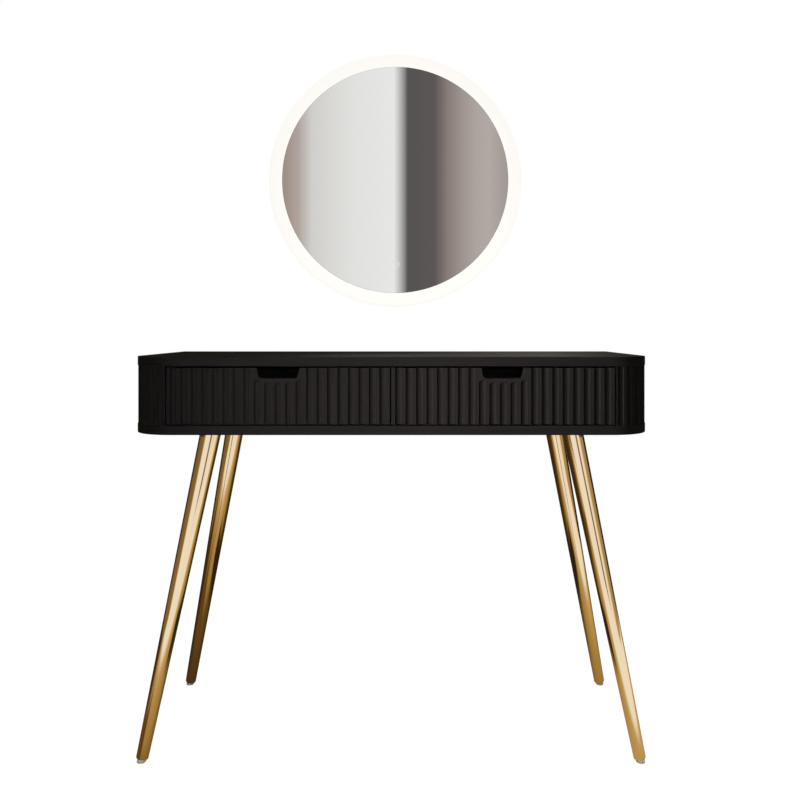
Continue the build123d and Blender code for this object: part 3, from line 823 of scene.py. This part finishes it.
def turned_fixing(boxes, places, axes, profile):
    """The kind of fixing that fits boxes, from its crown down to the end of its shank."""
    diameter, length = measure(boxes[0], *axes)
    rings = [(reach, length - depth) for reach, depth in profile]
    rings.append((profile[-1][0], 0.0))
    bm = bmesh.new()
    crown = bm.verts.new((0, 0, length))
    first = add_ring(bm, *rings[1])
    for here in range(HEAD_SIDES):
        bm.faces.new((crown, first[here], first[(here + 1) % HEAD_SIDES]))
    add_shank(bm, first, rings[2:])
    return new_piece("template", bm), diameter, places


def add_band(bm, centre, inner, outer, depths, start=0.0, sweep=tau):
    """A flat band bent round a centre, facing the front, that starts at an angle from the right."""
    full = sweep == tau
    count = round(KEY_STEPS * sweep / tau)
    front, back = depths
    corners = ((inner, front), (outer, front), (outer, back), (inner, back))
    rows = []
    for step in range(count if full else count + 1):
        angle = start + sweep * step / count
        row = []
        for reach, depth in corners:
            x = centre.x + reach * cos(angle)
            z = centre.z + reach * sin(angle)
            row.append(bm.verts.new((x, depth, z)))
        rows.append(row)
    following = rows[1:] + rows[:1] if full else rows[1:]
    for row, after in zip(rows, following):
        bridge(bm, row, after)
    if not full:
        bm.faces.new(rows[0])
        bm.faces.new(rows[-1])


def add_block(bm, low, high):
    """A block between two corners."""
    for vert in bmesh.ops.create_cube(bm, size=1.0)["verts"]:
        for axis in (X, Y, Z):
            vert.co[axis] = low[axis] if vert.co[axis] < 0 else high[axis]


# Node trees that set out what repeats


class Pattern:
    """A geometry tree under construction, with named inputs."""

    def __init__(self, name):
        self.tree = bpy.data.node_groups.new(name, "GeometryNodeTree")
        for way in ("INPUT", "OUTPUT"):
            self.tree.interface.new_socket("Geometry", in_out=way, socket_type="NodeSocketGeometry")
        self.group_in = self.tree.nodes.new("NodeGroupInput")
        self.group_out = self.tree.nodes.new("NodeGroupOutput")

    def input(self, name, kind):
        """Add a named input and give its socket."""
        self.tree.interface.new_socket(name, in_out="INPUT", socket_type=kind)
        return self.group_in.outputs[name]

    def node(self, kind, output, sockets, **settings):
        """Add a node and give one of its outputs."""
        return add_node(self.tree, kind, sockets, settings).outputs[output]

    def finish(self, instances):
        """End the tree with real geometry in its finish."""
        finish = self.input("Finish", "NodeSocketMaterial")
        real = self.node("GeometryNodeRealizeInstances", "Geometry", {"Geometry": instances})
        sockets = {"Geometry": real, "Material": finish}
        painted = self.node("GeometryNodeSetMaterial", "Geometry", sockets)
        self.tree.links.new(painted, self.group_out.inputs["Geometry"])
        return self.tree


def nail_rows():
    """Tree for domed nail heads round a panel that faces the back."""
    pattern = Pattern("nail_rows")
    sizes = ("Row Width", "Row Height", "Spacing", "Head Radius", "Crown Radius", "Head Rise")
    width, height, spacing, head, crown, rise = [
        pattern.input(size, "NodeSocketFloat") for size in sizes
    ]
    centre = pattern.input("Middle", "NodeSocketVector")
    sockets = {"Width": width, "Height": height}
    outline = pattern.node("GeometryNodeCurvePrimitiveQuadrilateral", "Curve", sockets)
    sockets = {"Curve": outline, "Length": spacing}
    row = pattern.node("GeometryNodeResampleCurve", "Curve", sockets, mode="LENGTH")
    sockets = {"Vertices": NAIL_SIDES, "Radius Top": crown, "Radius Bottom": head, "Depth": rise}
    nail = pattern.node("GeometryNodeMeshCone", "Mesh", sockets, fill_type="NGON")
    sockets = {"Points": row, "Instance": nail, "Rotation": (pi, 0, 0)}
    nails = pattern.node("GeometryNodeInstanceOnPoints", "Instances", sockets)
    sockets = {"Geometry": nails, "Translation": centre, "Rotation": (pi / 2, 0, 0)}
    return pattern.finish(pattern.node("GeometryNodeTransform", "Geometry", sockets))


def fixing_set():
    """Tree that sets a fixing on each point, along its aim and turned about it at random."""
    pattern = Pattern("fixing_set")
    fixing = pattern.input("Fixing", "NodeSocketObject")
    diameter = pattern.input("Diameter", "NodeSocketFloat")
    seed = pattern.input("Seed", "NodeSocketInt")
    shape = pattern.node("GeometryNodeObjectInfo", "Geometry", {"Object": fixing})
    kind = "FLOAT_VECTOR"
    aim = pattern.node("GeometryNodeInputNamedAttribute", "Attribute", {"Name": AIM}, data_type=kind)
    tilt = pattern.node("FunctionNodeAlignRotationToVector", "Rotation", {"Vector": aim}, axis="Z")
    sockets = {"Min": (0, 0, 0), "Max": (0, 0, tau), "Seed": seed}
    spin = pattern.node("FunctionNodeRandomValue", RANDOM_VECTOR, sockets, data_type=kind)
    spin = pattern.node("FunctionNodeEulerToRotation", "Rotation", {"Euler": spin})
    sockets = {"Rotation": tilt, "Rotate By": spin}
    turn = pattern.node("FunctionNodeRotateRotation", "Rotation", sockets, rotation_space="LOCAL")
    sockets = {"Mesh": pattern.group_in.outputs["Geometry"]}
    points = pattern.node("GeometryNodeMeshToPoints", "Points", sockets)
    sockets = {"Points": points, "Instance": shape, "Rotation": turn, "Scale": diameter}
    return pattern.finish(pattern.node("GeometryNodeInstanceOnPoints", "Instances", sockets))


def grown(name, places, tree, inputs):
    """A plain mesh piece grown by a geometry tree from places, each a point and an aim."""
    bm = bmesh.new()
    for place, aim in places:
        bm.verts.new(place)
    piece = new_piece(name, bm)
    aims = piece.data.attributes.new(AIM, "FLOAT_VECTOR", "POINT")
    for value, (place, aim) in zip(aims.data, places):
        value.vector = aim
    modifier = piece.modifiers.new(tree.name, "NODES")
    modifier.node_group = tree
    for socket in tree.interface.items_tree:
        if socket.in_out == "INPUT" and socket.name in inputs:
            modifier[socket.identifier] = inputs[socket.name]
    graph = bpy.context.evaluated_depsgraph_get()
    settled = bpy.data.meshes.new_from_object(piece.evaluated_get(graph))
    piece.modifiers.clear()
    bare = piece.data
    piece.data = settled
    bpy.data.meshes.remove(bare)
    settled.name = name
    return piece


def fit_fixings(name, node, body, *kinds):
    """Zinc fixings in the place of a node, of kinds with a template, a diameter and places."""
    vanity = bpy.context.scene.vanity
    seed = vanity.fittings.seed
    zinc = zinc_plate(vanity.metals)
    bm = bmesh.new()
    for template, diameter, places in kinds:
        inputs = {"Fixing": template, "Diameter": diameter, "Seed": seed, "Finish": zinc}
        fixings = grown(f"{name}_kind", places, fixing_set(), inputs)
        bm.from_mesh(fixings.data)
        # Removing a mesh removes its object too
        for used in (fixings, template):
            bpy.data.meshes.remove(used.data)
    piece = new_piece(name, bm, zinc)
    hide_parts(node)
    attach(piece, body)


# Operators


class VANITY_OT_boards(bpy.types.Operator):
    """Finish the carcass boards, their edging, the fluted faces and the back panel"""

    bl_idname = "vanity.boards"
    bl_label = "Finish Boards"

    def execute(self, context):
        boards = context.scene.vanity.boards
        edging_fibres = shade(boards.edging, EDGING_FIBRES)
        foil_fibres = shade(boards.foil, FOIL_FIBRES)
        panels = ["top_panel", "bottom_panel"]
        inside = [*each("inner_side"), "centre_divider"]
        fluted = [*each("fluted_side"), *each("drawer_front")]
        bands = ["top_edge_band", "bottom_edge_band"]
        for name, ground, fibres, long_axes, gloss, nodes in (
            ("black_decor", boards.black, boards.black_grain, "x", DECOR_GLOSS, panels),
            ("black_inside", boards.black, boards.black_grain, "y", DECOR_GLOSS, inside),
            ("black_edging", boards.edging, edging_fibres, "xy", DECOR_GLOSS, bands),
            ("fluted_foil", boards.foil, foil_fibres, "z", FOIL_GLOSS, fluted),
        ):
            stretch = board_stretch(boards, long_axes)
            paint(grained_black(boards, name, ground, fibres, stretch, gloss), *nodes)
        paint(black_hardboard(boards), "back_panel", *each("drawer_bottom"))
        return {"FINISHED"}


class VANITY_OT_slides(bpy.types.Operator):
    """Finish the steel members of the drawer slides and fit the screws of the fixed ones"""

    bl_idname = "vanity.slides"
    bl_label = "Finish Slides"

    def execute(self, context):
        zinc = zinc_plate(context.scene.vanity.metals)
        for member in ("cabinet_rails", "middle_rails", "drawer_rails"):
            paint(zinc, *each(member))
        boxes = islands("slide_screws")
        places = []
        for hand, half in zip(HANDS, apart(boxes, X, 0.0)):
            places += drawer_sides(half, hand, -1)
        screws = cross_slotted(boxes, places, (X, Y), WIDE_SHANK)
        fit_fixings("rail_screws", "slide_screws", "table", screws)
        return {"FINISHED"}


class VANITY_OT_drawers(bpy.types.Operator):
    """Finish the drawer boxes and fit their cams and screws"""

    bl_idname = "vanity.drawers"
    bl_label = "Finish Drawers"

    def execute(self, context):
        graphite = graphite_board(context.scene.vanity.boards)
        for piece in ("drawer_inner_side", "drawer_outer_side", "drawer_back"):
            paint(graphite, *each(piece))
        for hand in HANDS:
            self.fit_screws(hand)
            self.fit_cams(hand)
        return {"FINISHED"}

    def fit_screws(self, hand):
        """Screws of the slides and of the drawer back, driven in from outside the box."""
        node = f"{hand}_drawer_screws"
        short, long = by_length(islands(node), X)
        rail_screws = cross_slotted(short, drawer_sides(short, hand, 1), (X, Y), WIDE_SHANK)
        back_screws = cross_slotted(long, drawer_sides(long, hand, 1), (X, Y), THIN_SHANK)
        fit_fixings(f"{hand}_box_screws", node, f"{hand}_drawer", rail_screws, back_screws)

    def fit_cams(self, hand):
        """Cross-slotted cams in the drawer sides and the collared bolts that they pull on."""
        node = f"{hand}_drawer_cams"
        cams, bolts = by_length(islands(node), Y)
        places = drawer_sides(cams, hand, -1)
        cross = cross_points(*CAM_CROSS)
        cam = driven_fixing(cams, places, (X, Z), cross, CAM_RECESS, CAM_FACE, CAM_END)
        bolt = turned_fixing(bolts, aimed(bolts, Y, 1), (Y, X), BOLT_PROFILE)
        fit_fixings(f"{hand}_box_cams", node, f"{hand}_drawer", cam, bolt)


class VANITY_OT_fasteners(bpy.types.Operator):
    """Fit the carcass screws and the nails of the back panel"""

    bl_idname = "vanity.fasteners"
    bl_label = "Fit Fasteners"

    def execute(self, context):
        vanity = context.scene.vanity
        zinc = zinc_plate(vanity.metals)
        paint(beech(vanity.fittings), "carcass_dowels")
        paint(zinc, "cam_locks", "cam_bolts")
        self.fit_hex_screws()
        self.fit_nails(vanity.fittings, zinc)
        return {"FINISHED"}

    def fit_hex_screws(self):
        """Long screws with a hexagon socket, up through the bottom board."""
        boxes = islands("carcass_confirmats")
        places = aimed(boxes, Z, 1)
        socket = circle_points(HEX_SOCKET, HEX_SIDES)
        screws = driven_fixing(boxes, places, (Z, X), socket, HEX_RECESS, HEX_FACE, HEX_END)
        fit_fixings("confirmat_screws", "carcass_confirmats", "table", screws)

    def fit_nails(self, fittings, zinc):
        """Nails that hold the back panel in its rebate."""
        inset = 2 * fittings.nail_inset
        low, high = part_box("back_panel")
        centre = middle("back_panel")
        inputs = {
            "Row Width": high.x - low.x - inset,
            "Row Height": high.z - low.z - inset,
            "Spacing": fittings.nail_spacing,
            "Head Radius": fittings.nail_head / 2,
            "Crown Radius": fittings.nail_head * NAIL_CROWN,
            "Head Rise": fittings.nail_rise,
            "Middle": (centre.x, high.y, centre.z),
            "Finish": zinc,
        }
        nails = grown("back_panel_nails", [], nail_rows(), inputs)
        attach(nails, "table")


class VANITY_OT_legs(bpy.types.Operator):
    """Finish the plated legs, their plates and glides, and fit the plate screws"""

    bl_idname = "vanity.legs"
    bl_label = "Finish Legs"

    def execute(self, context):
        vanity = context.scene.vanity
        paint(polished_gold(vanity.metals), *each("leg", CORNERS), *each("leg_plate", CORNERS))
        nylon = moulded("milky_nylon", vanity.fittings.nylon, roughness=0.42, grain_scale=700.0)
        paint(nylon, *each("glide", CORNERS))
        boxes = islands("leg_plate_screws")
        screws = cross_slotted(boxes, aimed(boxes, Z, 1), (Z, X), THIN_SHANK)
        fit_fixings("plate_screws", "leg_plate_screws", "table", screws)
        return {"FINISHED"}


class VANITY_OT_mirror(bpy.types.Operator):
    """Finish the lit mirror, fit its rivets and draw its touch key"""

    bl_idname = "vanity.mirror"
    bl_label = "Finish Mirror"

    def execute(self, context):
        vanity = context.scene.vanity
        mirror = vanity.mirror
        paint(silvered_glass(mirror), "mirror_glass")
        paint(lit_opal(mirror), "diffuser_ring")
        for name, colour, roughness, grain_scale, gloss, nodes in (
            ("white_coat", mirror.coat, 0.5, 520.0, 0.5, ["mirror_chassis"]),
            ("white_plastic", mirror.plastic, 0.4, 800.0, 0.5, ["light_strip", "light_driver"]),
            ("solder_mask", mirror.mask, 0.35, 300.0, 0.5, ["touch_sensor"]),
            ("black_rubber", mirror.rubber, 0.72, 900.0, 0.25, ["cable_grommet", "wall_bumpers"]),
        ):
            paint(moulded(name, colour, roughness, grain_scale, gloss), *nodes)
        paint(zinc_plate(vanity.metals), "hanger_rail", "wall_rail")
        self.fit_rivets()
        self.draw_key(mirror)
        return {"FINISHED"}

    def fit_rivets(self):
        """Domed rivets that hold the hook rail on the chassis."""
        boxes = islands("hanger_rivets")
        rivets = turned_fixing(boxes, aimed(boxes, Y, 1), (Y, X), RIVET_PROFILE)
        fit_fixings("hook_rail_rivets", "hanger_rivets", "mirror", rivets)

    def draw_key(self, mirror):
        """A ring with a plain power sign, printed on the glass over the touch sensor."""
        centre = middle("touch_sensor")
        depths = (GLASS_FACE_Y - KEY_THICKNESS, GLASS_FACE_Y)
        ring = mirror.key_radius
        sign = ring * SIGN_RADIUS
        stroke = mirror.key_stroke * SIGN_STROKE
        bm = bmesh.new()
        add_band(bm, centre, ring - mirror.key_stroke, ring, depths)
        add_band(bm, centre, sign - stroke, sign, depths, pi / 2 + SIGN_GAP, tau - 2 * SIGN_GAP)
        low = (centre.x - stroke / 2, depths[0], centre.z + sign * SIGN_BAR_LOW)
        high = (centre.x + stroke / 2, depths[1], centre.z + sign * SIGN_BAR_HIGH)
        add_block(bm, low, high)
        bmesh.ops.recalc_face_normals(bm, faces=bm.faces)
        key = new_piece("touch_key", bm, key_light(mirror))
        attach(key, "mirror")


class VANITY_OT_stage(bpy.types.Operator):
    """Set up the floor, the surroundings, the lamps and the camera"""

    bl_idname = "vanity.stage"
    bl_label = "Set Up Studio"

    def execute(self, context):
        scene = context.scene
        studio = scene.vanity.studio
        self.lay_floor(studio)
        self.lay_painted_floor()
        self.hang_drum()
        self.light_world(scene, studio)
        self.hang_lamps(scene, studio)
        self.stand_camera(scene, studio)
        scene.view_settings.view_transform = "Standard"
        return {"FINISHED"}

    def lay_floor(self, studio):
        """A pale floor, lifted to white, that keeps a faint shadow of the table."""
        shader = new_finish("pale_floor")
        diffuse = shader.node("BsdfDiffuse", "BSDF", {"Color": shade(WHITE, studio.floor)})
        lift = 1 - studio.floor * studio.ambient
        glow = shader.emission(WHITE, lift * shader.seen())
        lifted = shader.node("AddShader", "Shader", {0: diffuse, 1: glow})
        bm = bmesh.new()
        bmesh.ops.create_grid(bm, x_segments=1, y_segments=1, size=FLOOR_REACH)
        floor = new_piece("studio_floor", bm, shader.finish(lifted))
        floor.visible_glossy = False

    def lay_painted_floor(self):
        """Painted light and shade on the floor round the table, with a painted shadow under it and
        painted shade by its left end, which only polished surfaces see.
        """
        shader = new_finish("floor_tones")
        right, front = shader.plan()
        # Painted light and shade: darker behind and to the left, lighter in front and to the right
        tone = shader.ramp(right * TONE_SLANT + front, FLOOR_SHADE_AND_LIGHT)
        aside = shader.maths("ABSOLUTE", right)
        # Painted shadow of the table on the floor under it
        under = (1 - shader.ease(aside, *TABLE_SHADOW_ASIDE)) * (1 - shader.ease(front, *TABLE_SHADOW_FRONT))
        tone = shader.mix(under, tone, SHADOW_TONE)
        # Painted shade on the floor to the left of the table
        side_shade = 1 - shader.ease(right + SIDE_SHADE_SLANT * front, *SIDE_SHADE_EDGE)
        side_shade = side_shade * shader.ease(front, *SIDE_SHADE_FRONT) * shader.ease(right, *SIDE_SHADE_REACH)
        tone = shader.mix(side_shade, tone, SIDE_SHADE_TONE)
        glow = shader.emission(shader.mix(shader.ray("Singular"), tone, MIRRORED_FLOOR))
        bm = bmesh.new()
        bmesh.ops.create_circle(bm, cap_ends=True, segments=TONE_SIDES, radius=TONE_REACH)
        self.keep_for_polish(new_piece("studio_tones", bm, shader.finish(glow)))

    def hang_drum(self):
        """Light and dark panels all round, which only polished surfaces see."""
        shader = new_finish("studio_panels")
        right, front = shader.plan()
        turn = shader.maths("ARCTAN2", right, front) * (1 / pi)
        metal_tone = shader.ramp(turn, METAL_ROW, HALF_TURN)
        mirror_tone = shader.ramp(turn, MIRROR_ROW, HALF_TURN)
        glow = shader.emission(shader.mix(shader.ray("Singular"), metal_tone, mirror_tone))
        bm = bmesh.new()
        low = add_ring(bm, DRUM_RADIUS, DRUM_LOW, DRUM_SIDES)
        high = add_ring(bm, DRUM_RADIUS, DRUM_HIGH, DRUM_SIDES)
        bridge(bm, low, high)
        self.keep_for_polish(new_piece("studio_drum", bm, shader.finish(glow)))

    def keep_for_polish(self, screen):
        """Show a screen to polished surfaces alone."""
        for kind in ("camera", "diffuse", "shadow", "transmission"):
            setattr(screen, f"visible_{kind}", False)

    def light_world(self, scene, studio):
        """Soft light from all round, seen as white."""
        shader = Shader(bpy.data.worlds.new("studio"))
        strength = studio.ambient + (1 - studio.ambient) * shader.seen()
        sockets = {"Color": WHITE, "Strength": strength}
        glow = shader.node("Background", "Background", sockets)
        scene.world = shader.finish(glow, "OutputWorld")

    def hang_lamps(self, scene, studio):
        """Lamps along the front, behind each end, above and just over the floor."""
        for name, power, place, aim, size, spread in LAMPS:
            lamp = bpy.data.lights.new(name, "AREA")
            lamp.shape = "RECTANGLE"
            lamp.size, lamp.size_y = size
            lamp.spread = radians(spread)
            lamp.energy = power * studio.light
            stand = bpy.data.objects.new(name, lamp)
            stand.location = place
            stand.visible_glossy = False
            stand.rotation_euler = (Vector(aim) - Vector(place)).to_track_quat("-Z", "Y").to_euler()
            scene.collection.objects.link(stand)

    def stand_camera(self, scene, studio):
        """A level camera that looks straight at the front."""
        lens = bpy.data.cameras.new("camera")
        lens.lens = studio.lens
        lens.shift_x = studio.shift_x
        lens.shift_y = studio.shift_y
        camera = bpy.data.objects.new("camera", lens)
        camera.location = studio.camera_place
        camera.rotation_euler = (pi / 2, 0, 0)
        scene.collection.objects.link(camera)
        scene.camera = camera


class VANITY_PT_sidebar(bpy.types.Panel):
    """Operators and settings of the vanity table"""

    bl_idname = "VANITY_PT_sidebar"
    bl_label = "Vanity Table"
    bl_space_type = "VIEW_3D"
    bl_region_type = "UI"
    bl_category = "Vanity"

    def draw(self, context):
        layout = self.layout
        for operator in OPERATORS:
            layout.operator(operator.bl_idname)
        vanity = context.scene.vanity
        for group in (vanity.boards, vanity.metals, vanity.mirror, vanity.fittings, vanity.studio):
            box = layout.box()
            for setting in group.bl_rna.properties:
                if setting.identifier not in ("name", "rna_type"):
                    box.prop(group, setting.identifier)


OPERATORS = (
    VANITY_OT_boards,
    VANITY_OT_slides,
    VANITY_OT_drawers,
    VANITY_OT_fasteners,
    VANITY_OT_legs,
    VANITY_OT_mirror,
    VANITY_OT_stage,
)

CLASSES = (
    BoardSettings,
    MetalSettings,
    MirrorSettings,
    FittingSettings,
    StudioSettings,
    VanitySettings,
    *OPERATORS,
    VANITY_PT_sidebar,
)


def register():
    """Make the settings, the operators and the panel known."""
    for item in CLASSES:
        bpy.utils.register_class(item)
    bpy.types.Scene.vanity = PointerProperty(type=VanitySettings)


def unregister():
    """Take away what register added."""
    del bpy.types.Scene.vanity
    for item in reversed(CLASSES):
        bpy.utils.unregister_class(item)


def main():
    """Dress the table and the mirror, and light them."""
    register()
    bpy.ops.vanity.boards()
    bpy.ops.vanity.slides()
    bpy.ops.vanity.drawers()
    bpy.ops.vanity.fasteners()
    bpy.ops.vanity.legs()
    bpy.ops.vanity.mirror()
    bpy.ops.vanity.stage()


if __name__ == "__main__":
    main()
